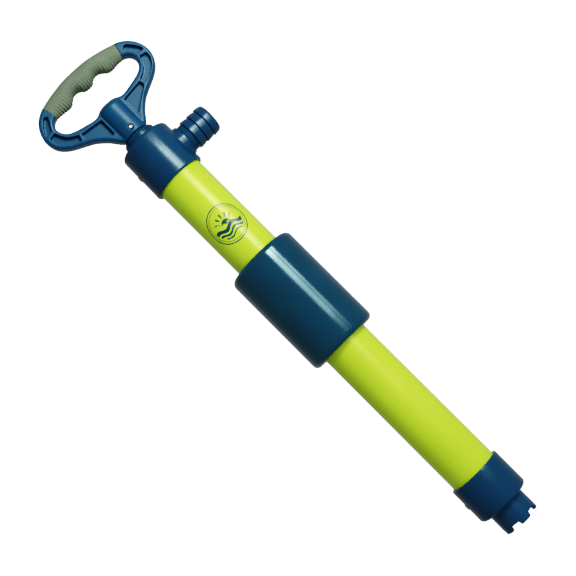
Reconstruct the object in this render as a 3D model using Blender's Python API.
"""Hand-held bilge pump, standing on its intake nozzle with the handle pushed right down.

Z runs up the pump's axis from the nozzle's rim, and the outlet points along +X.
Lengths are in millimetres times MM, so that the scene is in metres.
"""

import math

import bmesh
import bpy
import numpy as np
from mathutils import Matrix, Vector

MM = 0.001
GAP = 0.3 * MM  # clearance between faces that touch on the real pump

# Barrel and its two end caps
BARREL_R = 22.25 * MM
BARREL_BORE = 20.25 * MM
BARREL_Z = (27.0 * MM, 447.0 * MM)
CAP_SOCKET_R = BARREL_R + GAP
FOOT_R = 24.9 * MM
FOOT_Z = (20.4 * MM, 56.3 * MM)
NOZZLE_R = 17.1 * MM
NOZZLE_BORE = 14.0 * MM
HEAD_R = (25.3 * MM, 24.8 * MM)  # at its lower and its upper end
HEAD_Z = (407.0 * MM, 453.0 * MM)

# Five notches in the nozzle's rim, which let water in when it stands on the hull
NOTCHES = 5
NOTCH_WIDTH = 9.4 * MM
NOTCH_DEPTH = 4.0 * MM
NOTCH_FIRST = 20.0  # degrees from +X

# Outlet spigot, a three-barb hose tail on the head's side
OUTLET_Z = 429.0 * MM
OUTLET_BORE = 9.5 * MM
BOSS_R = 14.25 * MM
BOSS_X = 27.5 * MM
BOSS_BORE = 11.3 * MM
BARB_CREST = 14.3 * MM
BARB_ROOT = 12.8 * MM
BARB_START = 33.2 * MM
BARB_PITCH = 8.05 * MM
BARBS = 3
SPIGOT_END = 57.0 * MM

# Foam float collar
FLOAT_R = 33.0 * MM
FLOAT_Z = (207.4 * MM, 310.4 * MM)
FLOAT_CORNER = 6.5 * MM

# Locking screws, opposite the outlet
SCREW_HEIGHTS = {"foot_screw": 39.6 * MM, "head_screw": 431.0 * MM}
SCREW_HEAD_R = 3.0 * MM
SCREW_SHANK_R = 1.4 * MM
SCREW_STAND = 1.0 * MM

# Rod, and the gland that it runs through
ROD_R = 7.0 * MM
ROD_BORE = 5.0 * MM
ROD_Z = (48.3 * MM, 489.6 * MM)
GLAND_TOP = 461.2 * MM
GLAND_FOOT = 441.0 * MM
GLAND_BORE = 11.0 * MM  # hole in the head's top wall
BUSH_Z = (441.3 * MM, 454.5 * MM)

# Foot valve
PLATE_Z = (23.3 * MM, 26.4 * MM)
FOOT_DISC_R = 15.0 * MM
DISC_THICK = 1.6 * MM
VALVE_LIFT = 3.0 * MM

# Piston
PISTON_R = 19.6 * MM
PISTON_Z = (40.0 * MM, 48.0 * MM)
SEAL_GROOVE_R = 17.2 * MM
SEAL_Z = (42.0 * MM, 46.0 * MM)
PISTON_DISC_R = 16.2 * MM
STROKE = 370.0 * MM  # ends with the piston just under the outlet port
PORTS = 8

# Handle, measured up from the underside of its hub
HUB_Z = 461.6 * MM
HUB_R = 12.8 * MM
HUB_TOP = 37.7 * MM
FRAME_THICK = 13.0 * MM
FRAME_EDGE = [(3.5 * MM, 0.0), (5.6 * MM, 0.8 * MM), (6.5 * MM, 2.4 * MM)]  # (half depth, inset) round it
POCKET_DEPTH = 4.3 * MM
PIN_HEIGHT = 5.7 * MM
PIN_R = 1.35 * MM
GRIP_END = 40.7 * MM  # half length at mid height
GRIP_LEAN = 0.21  # the grip's end faces lean outwards with height
GRIP_TOP = 80.0 * MM
GRIP_TOP_RADIUS = 127.5 * MM
CORE_TOP_RADIUS = 155.0 * MM
CORE_MID = 72.0 * MM
CORE_HALF = (5.5 * MM, 4.5 * MM)  # half depth along Y and half height

FINE, MEDIUM, COARSE = 32, 24, 12  # facets round large, middling and small pieces


def clear_scene():
    for obj in list(bpy.data.objects):
        bpy.data.objects.remove(obj)


def material(name, colour, roughness, metallic=0.0):
    made = bpy.data.materials.new(name)
    made.use_nodes = True
    shader = made.node_tree.nodes["Principled BSDF"]
    shader.inputs["Base Color"].default_value = (*colour, 1.0)
    shader.inputs["Roughness"].default_value = roughness
    shader.inputs["Metallic"].default_value = metallic
    return made


def add_object(name, shape, finish, matrix=Matrix.Identity(4)):
    """Turns a bmesh into an object with its normals out."""
    bmesh.ops.recalc_face_normals(shape, faces=shape.faces)
    mesh = bpy.data.meshes.new(name)
    shape.to_mesh(mesh)
    shape.free()
    mesh.transform(matrix)
    mesh.shade_smooth()
    mesh.set_sharp_from_angle(angle=math.radians(30))
    if finish:
        mesh.materials.append(finish)
    obj = bpy.data.objects.new(name, mesh)
    bpy.context.scene.collection.objects.link(obj)
    return obj


def spin(shape, profile, facets):
    """Adds a (radius, height) profile turned about Z to a bmesh. It is closed unless it starts on the axis."""
    verts = [shape.verts.new((r, 0, z)) for r, z in profile]
    edges = [shape.edges.new(pair) for pair in zip(verts, verts[1:])]
    if profile[0][0] > 0:
        edges.append(shape.edges.new((verts[-1], verts[0])))
    bmesh.ops.spin(
        shape, geom=verts + edges, cent=(0, 0, 0), axis=(0, 0, 1),
        angle=2 * math.pi, steps=facets, use_merge=True,
    )
    bmesh.ops.remove_doubles(shape, verts=shape.verts, dist=1e-6)


def turned(name, profile, finish, facets=FINE, matrix=Matrix.Identity(4)):
    shape = bmesh.new()
    spin(shape, profile, facets)
    return add_object(name, shape, finish, matrix)


def ring(name, inner, outer, low, high, finish, facets=FINE):
    """A plain ring with square corners."""
    return turned(name, [(inner, low), (outer, low), (outer, high), (inner, high)], finish, facets)


def rod_profile(radius, low, high):
    return [(0, low), (radius, low), (radius, high), (0, high)]


def add_prism(shape, outline, low, high):
    """Adds an (x, z) outline extruded along Y from low to high to a bmesh."""
    face = shape.faces.new([shape.verts.new((x, low, z)) for x, z in outline])
    moved = bmesh.ops.extrude_face_region(shape, geom=[face])["geom"]
    bmesh.ops.translate(
        shape, verts=[v for v in moved if isinstance(v, bmesh.types.BMVert)], vec=(0, high - low, 0)
    )


def prisms(name, outlines, low, high, finish=None, matrix=Matrix.Identity(4)):
    shape = bmesh.new()
    for outline in outlines:
        add_prism(shape, outline, low, high)
    return add_object(name, shape, finish, matrix)


def combine(obj, other, operation):
    """A Boolean with another object, which then only shapes this one."""
    modifier = obj.modifiers.new(other.name, "BOOLEAN")
    modifier.operation = operation
    modifier.object = other
    other.hide_render = True
    other.display_type = "WIRE"


def cut(obj, *cutters):
    for cutter in cutters:
        combine(obj, cutter, "DIFFERENCE")


def fuse(obj, *others):
    for other in others:
        combine(obj, other, "UNION")


def along(direction, at, facets=COARSE):
    """Carries Z to a direction, then moves to a point, with half a facet's turn about that direction."""
    aim = Vector(direction).to_track_quat("Z", "Y").to_matrix().to_4x4()
    return Matrix.Translation(at) @ aim @ Matrix.Rotation(math.pi / facets, 4, "Z")


def at_outlet():
    return along((1, 0, 0), (0, 0, OUTLET_Z), MEDIUM)


def corner(centre, radius, start, end, steps=3):
    """Points of an arc, from one angle to another in degrees."""
    angles = [math.radians(start + (end - start) * i / steps) for i in range(steps + 1)]
    return [(centre[0] + radius * math.cos(a), centre[1] + radius * math.sin(a)) for a in angles]


def smooth(points, steps=3):
    """A Catmull-Rom curve through the points, which keeps both ends."""
    ends = [points[0], *points, points[-1]]
    curve = []
    for a, b, c, d in zip(ends, ends[1:], ends[2:], ends[3:]):
        for i in range(steps):
            t = i / steps
            curve.append(tuple(
                q + 0.5 * t * (r - p + t * (2 * p - 5 * q + 4 * r - s + t * (3 * q - p - 3 * r + s)))
                for p, q, r, s in zip(a, b, c, d)
            ))
    return [*curve, points[-1]]


def mirrored(half):
    """The outline of a right half and its mirror image, in order round the shape."""
    return half + [(-x, z) for x, z in reversed(half) if x > 1e-9]


# ---------------------------------------------------------------- barrel and caps


def screw_hole(name, radius):
    """A cutter along -X through the cap wall and the barrel wall at a locking screw."""
    height = SCREW_HEIGHTS[name]
    profile = rod_profile(radius, 0, 12 * MM)
    return turned(name + "_hole", profile, None, COARSE, along((-1, 0, 0), (-18 * MM, 0, height)))


def make_barrel(finish):
    barrel = ring("barrel", BARREL_BORE, BARREL_R, *BARREL_Z, finish)
    port = turned("barrel_port", rod_profile(OUTLET_BORE, 0, 30 * MM), None, MEDIUM, at_outlet())
    cut(barrel, port, *[screw_hole(name, SCREW_SHANK_R + GAP) for name in SCREW_HEIGHTS])


def make_foot_cap(finish):
    low, high = FOOT_Z
    corner_r = 3.4 * MM
    floor = PLATE_Z[0] - GAP
    nozzle_seat = NOZZLE_R + GAP
    profile = [
        (nozzle_seat, low),
        *corner((FOOT_R - corner_r, low + 0.4 * MM + corner_r), corner_r, -80, 0),
        (FOOT_R, high - 0.6 * MM),
        (FOOT_R - 0.6 * MM, high),
        (CAP_SOCKET_R, high),
        (CAP_SOCKET_R, floor),
        (nozzle_seat, floor),
    ]
    foot = turned("foot_cap", profile, finish)
    cut(foot, screw_hole("foot_screw", SCREW_SHANK_R + GAP))


def make_nozzle(finish):
    """The intake tube, set in the foot cap's floor, with its notched rim."""
    profile = [
        (NOZZLE_BORE, 0),
        (NOZZLE_R - 0.8 * MM, 0),
        (NOZZLE_R, 0.8 * MM),
        (NOZZLE_R, PLATE_Z[0] - GAP),
        (NOZZLE_BORE, PLATE_Z[0] - GAP),
    ]
    nozzle = turned("intake_nozzle", profile, finish)
    half = NOTCH_WIDTH / 2
    round_r = 1.6 * MM
    top = NOTCH_DEPTH - round_r
    outline = [
        (-half, -2 * MM),
        (half, -2 * MM),
        *corner((half - round_r, top), round_r, 0, 90),
        *corner((round_r - half, top), round_r, 90, 180),
    ]
    for i in range(NOTCHES):
        turn = Matrix.Rotation(math.radians(NOTCH_FIRST - 90 + 360 / NOTCHES * i), 4, "Z")
        cut(nozzle, prisms(f"notch_{i}", [outline], 8 * MM, 24 * MM, None, turn))


def make_head_cap(finish):
    low, high = HEAD_Z
    corner_r = 3.2 * MM
    wall_under = BARREL_Z[1] + GAP
    profile = [
        (0, low),
        (HEAD_R[0] - 1.0 * MM, low),
        (HEAD_R[0], low + 1.2 * MM),
        *corner((HEAD_R[1] - corner_r, high - corner_r), corner_r, 0, 90),
        (0, high),
    ]
    head = turned("head_cap", profile, finish)
    boss = turned("outlet_boss", rod_profile(BOSS_R, 12 * MM, BOSS_X), None, MEDIUM, at_outlet())
    socket = [
        (0, low - 5 * MM),
        (CAP_SOCKET_R, low - 5 * MM),
        (CAP_SOCKET_R, wall_under),
        (GLAND_BORE, wall_under),
        (GLAND_BORE, high + 5 * MM),
        (0, high + 5 * MM),
    ]
    bore = turned("boss_bore", rod_profile(BOSS_BORE, 5 * MM, 40 * MM), None, MEDIUM, at_outlet())
    fuse(head, boss)
    cut(head, screw_hole("head_screw", SCREW_SHANK_R + GAP), turned("head_socket", socket, None), bore)


def make_outlet_spigot(finish):
    """The hose tail, turned about X. Its profile is (radius, distance from the pump's axis)."""
    tail_r = BOSS_BORE - GAP
    groove = (24.2 * MM, 26.2 * MM)
    outer = [(tail_r, 23.0 * MM), (tail_r, groove[0]), (tail_r - 1.3 * MM, groove[0])]
    outer += [(tail_r - 1.3 * MM, groove[1]), (tail_r, groove[1]), (tail_r, BOSS_X + GAP)]
    outer += [(BARB_ROOT, BOSS_X + GAP), (BARB_ROOT, BARB_START)]
    for i in range(BARBS):
        start = BARB_START + BARB_PITCH * i
        outer += [(BARB_CREST, start), (BARB_CREST, start + 0.8 * MM)]
        if i < BARBS - 1:
            outer.append((BARB_ROOT, start + BARB_PITCH))
    outer += [(BARB_ROOT + 0.1 * MM, SPIGOT_END - 0.9 * MM), (BARB_ROOT - 0.9 * MM, SPIGOT_END)]
    profile = [(OUTLET_BORE, 23.0 * MM), *outer, (OUTLET_BORE, SPIGOT_END)]
    turned("outlet_spigot", profile, finish, MEDIUM, at_outlet())


def make_outlet_seal(finish):
    """A rubber ring in the spigot's groove."""
    inner = BOSS_BORE - GAP - 1.3 * MM + GAP / 2
    profile = [
        (inner, 24.5 * MM),
        (BOSS_BORE - 0.15 * MM, 24.5 * MM),
        (BOSS_BORE - 0.15 * MM, 25.9 * MM),
        (inner, 25.9 * MM),
    ]
    turned("outlet_seal", profile, finish, MEDIUM, at_outlet())


def make_float(finish):
    low, high = FLOAT_Z
    bore = BARREL_R + GAP
    middle = FLOAT_R - FLOAT_CORNER
    profile = [
        (bore, low),
        *corner((middle, low + FLOAT_CORNER), FLOAT_CORNER, -90, 0),
        *corner((middle, high - FLOAT_CORNER), FLOAT_CORNER, 0, 90),
        (bore, high),
    ]
    turned("float_collar", profile, finish)


def make_locking_screws(finish):
    """Pan-head screws along -X. The profile is (radius, distance from the cap's surface)."""
    for name, height in SCREW_HEIGHTS.items():
        seat = FOOT_R if name == "foot_screw" else HEAD_R[0]
        start = seat + GAP - 0.1 * MM
        profile = [
            (0, -4.4 * MM),
            (SCREW_SHANK_R, -3.9 * MM),
            (SCREW_SHANK_R, 0),
            (SCREW_HEAD_R, 0),
            (SCREW_HEAD_R - 0.3 * MM, 0.6 * MM),
            (SCREW_HEAD_R - 1.2 * MM, SCREW_STAND),
            (0, SCREW_STAND),
        ]
        turned(name, profile, finish, COARSE, along((-1, 0, 0), (-start, 0, height)))


# ---------------------------------------------------------------- gland


def make_gland(finish):
    """The stepped neck, screwed into the head, with a seal groove and the guide bush inside."""
    base = HEAD_Z[1] + GAP
    groove_r = 9.8 * MM
    profile = [
        (9.2 * MM, GLAND_FOOT),
        (10.7 * MM, GLAND_FOOT),
        (10.7 * MM, base),
        (15.5 * MM, base),
        (16.1 * MM, base + 0.7 * MM),
        (16.1 * MM, base + 2.6 * MM),
        (15.4 * MM, base + 3.2 * MM),
        (15.4 * MM, base + 3.8 * MM),
        (15.8 * MM, base + 4.2 * MM),
        *corner((13.1 * MM, GLAND_TOP - 3.0 * MM), 2.7 * MM, 10, 90),
        (ROD_R + GAP, GLAND_TOP),
        (ROD_R + GAP, 459.0 * MM),
        (groove_r, 459.0 * MM),
        (groove_r, 455.0 * MM),
        (9.2 * MM, 455.0 * MM),
    ]
    turned("rod_gland", profile, finish, MEDIUM)


def make_gland_seals(rubber, bush_finish):
    wiper = [
        (ROD_R + 0.25 * MM, 457.4 * MM),
        (ROD_R + 0.9 * MM, 455.3 * MM),
        (9.5 * MM, 455.3 * MM),
        (9.5 * MM, 458.7 * MM),
        (ROD_R + 0.9 * MM, 458.7 * MM),
    ]
    turned("rod_wiper", wiper, rubber, MEDIUM)
    ring("rod_bush", ROD_R + GAP, 8.9 * MM, *BUSH_Z, bush_finish, MEDIUM)


# ---------------------------------------------------------------- foot valve


def port_cutter(name, circle_r, port_r, low, high):
    """One mesh of PORTS upright cylinders on a circle, which cuts a valve's water holes."""
    shape = bmesh.new()
    for i in range(PORTS):
        turn = Matrix.Rotation(2 * math.pi * i / PORTS, 4, "Z")
        place = turn @ Matrix.Translation((circle_r, 0, (low + high) / 2))
        bmesh.ops.create_cone(
            shape, cap_ends=True, segments=12, radius1=port_r, radius2=port_r, depth=high - low, matrix=place
        )
    return add_object(name, shape, None)


def make_foot_valve(plastic, rubber, steel):
    low, high = PLATE_Z
    plate = ring("foot_valve_plate", 2.3 * MM, BARREL_R - 0.05 * MM, low, high, plastic)
    cut(plate, port_cutter("plate_ports", 9.3 * MM, 3.0 * MM, low - 2 * MM, high + 2 * MM))
    seat = high + GAP
    ring("foot_valve_disc", 2.7 * MM, FOOT_DISC_R, seat, seat + DISC_THICK, rubber, MEDIUM)
    stop = seat + DISC_THICK + VALVE_LIFT + GAP
    stem = [
        (0, low - 1.9 * MM),
        (3.2 * MM, low - 1.9 * MM),
        (4.0 * MM, low - GAP),
        (2.0 * MM, low - GAP),
        (2.0 * MM, stop),
        (4.6 * MM, stop),
        (3.8 * MM, stop + 1.4 * MM),
        (0, stop + 1.8 * MM),
    ]
    turned("foot_valve_stem", stem, steel, COARSE)


# ---------------------------------------------------------------- piston and rod


def make_piston(plastic, rubber, steel):
    low, high = PISTON_Z
    bore = 2.0 * MM
    profile = [
        (bore, low),
        (PISTON_R, low),
        (PISTON_R, SEAL_Z[0]),
        (SEAL_GROOVE_R, SEAL_Z[0]),
        (SEAL_GROOVE_R, SEAL_Z[1]),
        (PISTON_R, SEAL_Z[1]),
        (PISTON_R, high),
        (ROD_BORE - GAP, high),
        (ROD_BORE - GAP, high + 14 * MM),
        (bore, high + 14 * MM),
    ]
    piston = turned("piston_body", profile, plastic)
    cut(piston, port_cutter("piston_ports", 12.2 * MM, 2.5 * MM, low - 2 * MM, high + 2 * MM))

    cup = [
        (SEAL_GROOVE_R + GAP, SEAL_Z[0] + GAP),
        (18.6 * MM, SEAL_Z[0] + GAP),
        (19.4 * MM, SEAL_Z[0] + 1.2 * MM),
        (20.0 * MM, SEAL_Z[1] - 0.9 * MM),
        (19.7 * MM, SEAL_Z[1] - GAP),
        (SEAL_GROOVE_R + GAP, SEAL_Z[1] - GAP),
    ]
    turned("piston_seal", cup, rubber)

    seat = high + GAP
    ring("piston_valve_disc", ROD_R + 0.5 * MM, PISTON_DISC_R, seat, seat + DISC_THICK, rubber, MEDIUM)
    washer_top = low - GAP
    ring("piston_washer", bore + GAP / 2, 5.5 * MM, washer_top - 1.0 * MM, washer_top, steel, COARSE)
    head_top = washer_top - 1.0 * MM - GAP
    screw = [
        (0, head_top - 1.8 * MM),
        (2.6 * MM, head_top - 1.8 * MM),
        (3.6 * MM, head_top - 0.9 * MM),
        (3.6 * MM, head_top),
        (1.7 * MM, head_top),
        (1.7 * MM, high + 10 * MM),
        (0, high + 11 * MM),
    ]
    turned("piston_screw", screw, steel, COARSE)


def stop_height():
    """Height of the retaining ring that the piston's valve disc lifts against."""
    return PISTON_Z[1] + GAP + DISC_THICK + VALVE_LIFT + GAP


def make_rod(finish, steel, rubber):
    groove_r = 6.2 * MM
    ring_low = stop_height()
    ring_high = ring_low + 1.2 * MM
    profile = [
        (ROD_BORE, ROD_Z[0]),
        (ROD_R, ROD_Z[0]),
        (ROD_R, ring_low - GAP),
        (groove_r, ring_low - GAP),
        (groove_r, ring_high + GAP),
        (ROD_R, ring_high + GAP),
        (ROD_R, ROD_Z[1]),
        (ROD_BORE, ROD_Z[1]),
    ]
    rod = turned("pump_rod", profile, finish, MEDIUM)
    cut(rod, pin_hole("rod_pin_hole"))
    ring("valve_stop_ring", groove_r + GAP, 10.5 * MM, ring_low, ring_high, steel, MEDIUM)
    bumper_top = GLAND_FOOT - GAP - STROKE
    ring("rod_bumper", ROD_R + GAP, 10.6 * MM, ring_high + GAP, bumper_top, rubber, MEDIUM)


# ---------------------------------------------------------------- handle


def pin_hole(name):
    """A cutter along Y at the handle's cross pin."""
    profile = rod_profile(PIN_R + GAP, -20 * MM, 20 * MM)
    return turned(name, profile, None, COARSE, along((0, 1, 0), (0, 0, HUB_Z + PIN_HEIGHT)))


def frame_outline():
    """The D-shaped frame's outside, from the top centre round its right side and back."""
    half = [(0, 80.0), (16.7, 79.0), (29.6, 76.6), (40.4, 73.4), (46.9, 70.7), (52.5, 66.8), (56.7, 61.8)]
    half += [(59.5, 56.0), (60.7, 50.0), (60.2, 43.7), (57.9, 37.7), (53.5, 32.7), (48.1, 28.9)]
    half += [(41.7, 25.6), (36.7, 23.2), (32.3, 20.9), (28.5, 18.4), (21.7, 12.3), (15.6, 4.6), (12.0, 1.5)]
    half += [(6.0, 1.0), (0, 1.0)]
    return mirrored([(x * MM, HUB_Z + z * MM) for x, z in smooth(half)])


def hand_opening():
    """The opening for the hand, from the middle of its lower edge round its right side and back."""
    half = [(0, 33.0), (14.0, 33.0), (21.7, 34.3), (30.3, 36.5), (36.5, 38.5), (41.8, 41.3), (45.2, 45.3)]
    half += [(46.5, 50.0), (45.4, 54.6), (42.4, 57.3), (38.0, 58.2), (30.0, 58.2), (0, 58.2)]
    return mirrored([(x * MM, HUB_Z + z * MM) for x, z in smooth(half)])


def pocket_outlines():
    """Moulded recesses: two follow the side of the loop and one is a triangle beside the hub."""
    upper = [(44.5, 63.4), (46.4, 65.0), (48.8, 64.4), (53.7, 58.9), (56.5, 54.3), (57.2, 50.9)]
    upper += [(51.0, 51.5), (49.5, 53.9), (46.7, 58.7)]
    lower = [(50.2, 48.6), (56.0, 47.4), (57.1, 45.4), (56.2, 40.9), (53.9, 37.0), (50.0, 33.2), (45.3, 30.0)]
    lower += [(38.6, 27.9), (37.3, 28.8), (36.2, 33.0), (41.1, 35.4), (45.9, 39.4), (48.6, 44.3)]
    triangle = [(34.2, 31.9), (35.3, 28.1), (33.8, 25.8), (25.3, 19.7), (14.8, 12.3), (13.4, 13.4), (13.4, 29.3)]
    right = [[(x * MM, HUB_Z + z * MM) for x, z in pocket] for pocket in (upper, lower, triangle)]
    return right + [[(-x, z) for x, z in pocket] for pocket in right]


def grip_underside(x):
    """Height of the finger side above the hub's underside at a distance from the centre."""
    half = [(0, 58.9), (4.5, 59.8), (7.2, 62.0), (9.8, 63.4), (12.6, 63.8), (15.6, 63.2), (18.6, 61.3)]
    half += [(21.0, 59.2), (23.8, 57.7), (27.0, 57.3), (34.0, 57.9), (42.0, 58.3)]
    across, heights = zip(*smooth(half))
    return float(np.interp(abs(x) / MM, across, heights)) * MM


def grip_upper(x):
    return GRIP_TOP - x * x / (2 * GRIP_TOP_RADIUS)


def squared_ellipse(half_y, half_z, count, power):
    """Points round a superellipse, as (y, z) offsets."""
    points = []
    for i in range(count):
        a = 2 * math.pi * i / count
        c, s = math.cos(a), math.sin(a)
        points.append((
            math.copysign(abs(c) ** (2 / power), c) * half_y,
            math.copysign(abs(s) ** (2 / power), s) * half_z,
        ))
    return points


def loft(name, sections, finish):
    """Skins closed rings of points in order and caps both ends."""
    shape = bmesh.new()
    rings = [[shape.verts.new(p) for p in section] for section in sections]
    for a, b in zip(rings, rings[1:]):
        for i in range(len(a)):
            j = (i + 1) % len(a)
            shape.faces.new((a[i], a[j], b[j], b[i]))
    shape.faces.new(rings[0])
    shape.faces.new(reversed(rings[-1]))
    return add_object(name, shape, finish)


def core_bar(name, half_length, swell):
    """The bar that carries the grip, as an arc. Swell widens it all round."""
    steps = 12
    sections = []
    for i in range(steps + 1):
        x = half_length * (2 * i / steps - 1)
        middle = HUB_Z + CORE_MID - x * x / (2 * CORE_TOP_RADIUS)
        lean = GRIP_LEAN * x / GRIP_END
        around = squared_ellipse(CORE_HALF[0] + swell, CORE_HALF[1] + swell, 16, 4)
        sections.append([(x + lean * z, y, middle + z) for y, z in around])
    return loft(name, sections, None)


def make_grip(finish):
    """The soft grip: a barrel-shaped sleeve with finger ridges on its underside."""
    steps = 36
    sections = []
    for i in range(steps + 1):
        x = (GRIP_END - GAP) * (2 * i / steps - 1)
        top, under = grip_upper(x), grip_underside(x)
        share = (x / GRIP_END) ** 2
        half_y = (10.2 - 3.2 * share) * MM
        lean = GRIP_LEAN * x / GRIP_END
        around = squared_ellipse(half_y, (top - under) / 2, 16, 2.2)
        middle = HUB_Z + (top + under) / 2
        sections.append([(x + lean * z, y, middle + z) for y, z in around])
    grip = loft("handle_grip", sections, finish)
    cut(grip, core_bar("grip_bore", GRIP_END + 8 * MM, GAP))


def inset(outline, distance):
    """An outline moved inwards by a distance along its own normals."""
    turn = sum(a[0] * b[1] - b[0] * a[1] for a, b in zip(outline, outline[1:] + outline[:1]))
    side = 1 if turn > 0 else -1
    moved = []
    for before, point, after in zip(outline[-1:] + outline, outline, outline[1:] + outline[:1]):
        step = (Vector(after) - Vector(before)).normalized()
        moved.append((point[0] - side * step.y * distance, point[1] + side * step.x * distance))
    return moved


def pillow(name, outline, edge, finish=None):
    """An (x, z) outline as a solid about the XZ plane, whose rims step in as edge says."""
    layers = [(-y, step) for y, step in reversed(edge)] + edge
    return loft(name, [[(x, y, z) for x, z in inset(outline, step)] for y, step in layers], finish)


def grip_space():
    """What the grip takes out of the frame: a block with leaning ends."""
    low, high = 56.0 * MM, 90.0 * MM
    middle = 66.5 * MM
    ends = [(GRIP_END + GRIP_LEAN * (z - middle), HUB_Z + z) for z in (low, high)]
    outline = [ends[0], ends[1], (-ends[1][0], ends[1][1]), (-ends[0][0], ends[0][1])]
    return prisms("grip_space", [outline], -20 * MM, 20 * MM)


def make_frame(finish):
    half = FRAME_THICK / 2
    frame = pillow("handle_frame", frame_outline(), FRAME_EDGE, finish)
    flare = [(y, -step) for y, step in FRAME_EDGE] + [(20 * MM, -FRAME_EDGE[-1][1])]
    hub_profile = [
        (0, 0),
        (HUB_R - 0.6 * MM, 0),
        (HUB_R, 0.6 * MM),
        (HUB_R, 31.2 * MM),
        (12.2 * MM, 33.2 * MM),
        (10.2 * MM, 35.2 * MM),
        (6.0 * MM, 36.9 * MM),
        (0, HUB_TOP),
    ]
    hub = turned("hub_boss", hub_profile, None, MEDIUM, Matrix.Translation((0, 0, HUB_Z)))
    cut(frame, pillow("hand_opening", hand_opening(), flare), grip_space())
    fuse(frame, core_bar("grip_core", GRIP_END + 4 * MM, 0.0), hub)
    for side in (-1, 1):
        face, floor = side * 20 * MM, side * (half - POCKET_DEPTH)
        cut(frame, prisms(f"pockets_{side + 1}", pocket_outlines(), min(face, floor), max(face, floor)))
    socket = turned("rod_socket", rod_profile(ROD_R + GAP, HUB_Z - 5 * MM, ROD_Z[1] + GAP), None, MEDIUM)
    sink = turned(
        "pin_sink", rod_profile(2.5 * MM, 0, 10 * MM), None, COARSE,
        along((0, -1, 0), (0, 1.0 * MM - HUB_R, HUB_Z + PIN_HEIGHT)),
    )
    cut(frame, socket, pin_hole("frame_pin_hole"), sink)


def make_pin(finish):
    """A headed cross pin along Y. The profile is (radius, distance along it from the pump's axis)."""
    head = HUB_R - 1.0 * MM + GAP
    profile = [
        (0, -12.4 * MM),
        (PIN_R - 0.3 * MM, -12.4 * MM),
        (PIN_R, -12.0 * MM),
        (PIN_R, head),
        (1.95 * MM, head),
        (1.8 * MM, head + 0.6 * MM),
        (1.1 * MM, head + 1.05 * MM),
        (0, head + 1.2 * MM),
    ]
    turned("handle_pin", profile, finish, COARSE, along((0, -1, 0), (0, 0, HUB_Z + PIN_HEIGHT)))


def main():
    clear_scene()
    lime = material("lime_tube", (0.52, 0.69, 0.03), 0.3)
    navy = material("navy_cap", (0.012, 0.045, 0.14), 0.3)
    blue = material("blue_handle", (0.015, 0.11, 0.28), 0.4)
    foam = material("float_skin", (0.008, 0.035, 0.085), 0.15)
    sage = material("sage_grip", (0.19, 0.24, 0.15), 0.7)
    white = material("white_plastic", (0.75, 0.75, 0.72), 0.4)
    rubber = material("black_rubber", (0.02, 0.02, 0.02), 0.7)
    steel = material("stainless", (0.6, 0.6, 0.58), 0.25, 1.0)

    make_barrel(lime)
    make_foot_cap(navy)
    make_nozzle(navy)
    make_head_cap(navy)
    make_outlet_spigot(navy)
    make_outlet_seal(rubber)
    make_float(foam)
    make_locking_screws(steel)
    make_gland(navy)
    make_gland_seals(rubber, white)
    make_foot_valve(white, rubber, steel)
    make_piston(white, rubber, steel)
    make_rod(white, steel, rubber)
    make_frame(blue)
    make_grip(sage)
    make_pin(steel)


main()
